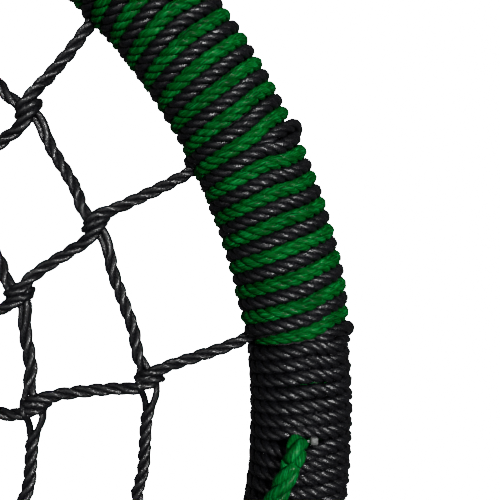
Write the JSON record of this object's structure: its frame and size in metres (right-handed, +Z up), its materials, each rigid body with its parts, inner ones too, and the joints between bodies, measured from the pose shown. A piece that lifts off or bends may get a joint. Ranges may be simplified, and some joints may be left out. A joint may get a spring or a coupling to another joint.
{
  "type": "round climbing net",
  "caption": "Round steel ring bound in two-colour rope over foam, with a hand-tied web of rope inside it and rope loops to hang it by.",
  "frame": {"origin": "centre of the ring, on the floor that it lies on", "axes": "+Z up, square to the net; +X towards the first hanger loop, +Y towards the second"},
  "size_m": [1.0104, 1.0104, 0.0953],
  "materials": {
    "galvanised_steel": "zinc-coated tube",
    "weld": "ground weld",
    "foam": "closed-cell foam",
    "hanger_rope": "heavy three-strand twisted rope, glossy fibres",
    "green_rope": "three-strand twisted rope, glossy fibres",
    "black_rope": "three-strand twisted rope, glossy fibres",
    "net_rope": "three-strand twisted rope, glossy fibres",
    "melted_rope": "melted and cut rope end"
  },
  "bodies": {
    "ring_and_net": {"steel_ring": "galvanised_steel", "weld_bead": "weld", "backing_sleeve": "galvanised_steel", "foam_sleeve_1": "foam", "foam_sleeve_2": "foam", "foam_sleeve_3": "foam", "foam_sleeve_4": "foam", "hanger_coil_1": "hanger_rope", "hanger_coil_2": "hanger_rope", "hanger_coil_3": "hanger_rope", "hanger_coil_4": "hanger_rope", "green_winding_1": "green_rope", "green_winding_2": "green_rope", "green_winding_3": "green_rope", "green_winding_4": "green_rope", "black_winding_1": "black_rope", "black_winding_2": "black_rope", "black_winding_3": "black_rope", "black_winding_4": "black_rope", "plain_winding_1": "black_rope", "plain_winding_2": "black_rope", "plain_winding_3": "black_rope", "plain_winding_4": "black_rope", "fused_ends": "melted_rope", "radial_rope_1": "net_rope", "radial_rope_2": "net_rope", "radial_rope_3": "net_rope", "radial_rope_4": "net_rope", "radial_rope_5": "net_rope", "radial_rope_6": "net_rope", "radial_rope_7": "net_rope", "radial_rope_8": "net_rope", "radial_rope_9": "net_rope", "radial_rope_10": "net_rope", "radial_rope_11": "net_rope", "radial_rope_12": "net_rope", "radial_rope_13": "net_rope", "radial_rope_14": "net_rope", "radial_rope_15": "net_rope", "radial_rope_16": "net_rope", "radial_rope_17": "net_rope", "radial_rope_18": "net_rope", "radial_rope_19": "net_rope", "radial_rope_20": "net_rope", "mesh_ring_1": "net_rope", "mesh_ring_2": "net_rope", "mesh_ring_3": "net_rope", "mesh_ring_4": "net_rope", "centre_ring": "net_rope"},
    "loop_1": {"hanger_loop_1": "hanger_rope"},
    "loop_2": {"hanger_loop_2": "hanger_rope"},
    "loop_3": {"hanger_loop_3": "hanger_rope"},
    "loop_4": {"hanger_loop_4": "hanger_rope"}
  },
  "joints": [
    {"name": "loop_1_lift", "type": "hinge", "parent": "ring_and_net", "child": "loop_1", "pos_m": [0.44479, 0, 0.0873], "axis": [0, 1, 0], "range_deg": [0, 180]},
    {"name": "loop_2_lift", "type": "hinge", "parent": "ring_and_net", "child": "loop_2", "pos_m": [0, 0.44479, 0.0873], "axis": [-1, 0, 0], "range_deg": [0, 180]},
    {"name": "loop_3_lift", "type": "hinge", "parent": "ring_and_net", "child": "loop_3", "pos_m": [-0.44479, 0, 0.0873], "axis": [0, -1, 0], "range_deg": [0, 180]},
    {"name": "loop_4_lift", "type": "hinge", "parent": "ring_and_net", "child": "loop_4", "pos_m": [0, -0.44479, 0.0873], "axis": [1, 0, 0], "range_deg": [0, 180]}
  ]
}
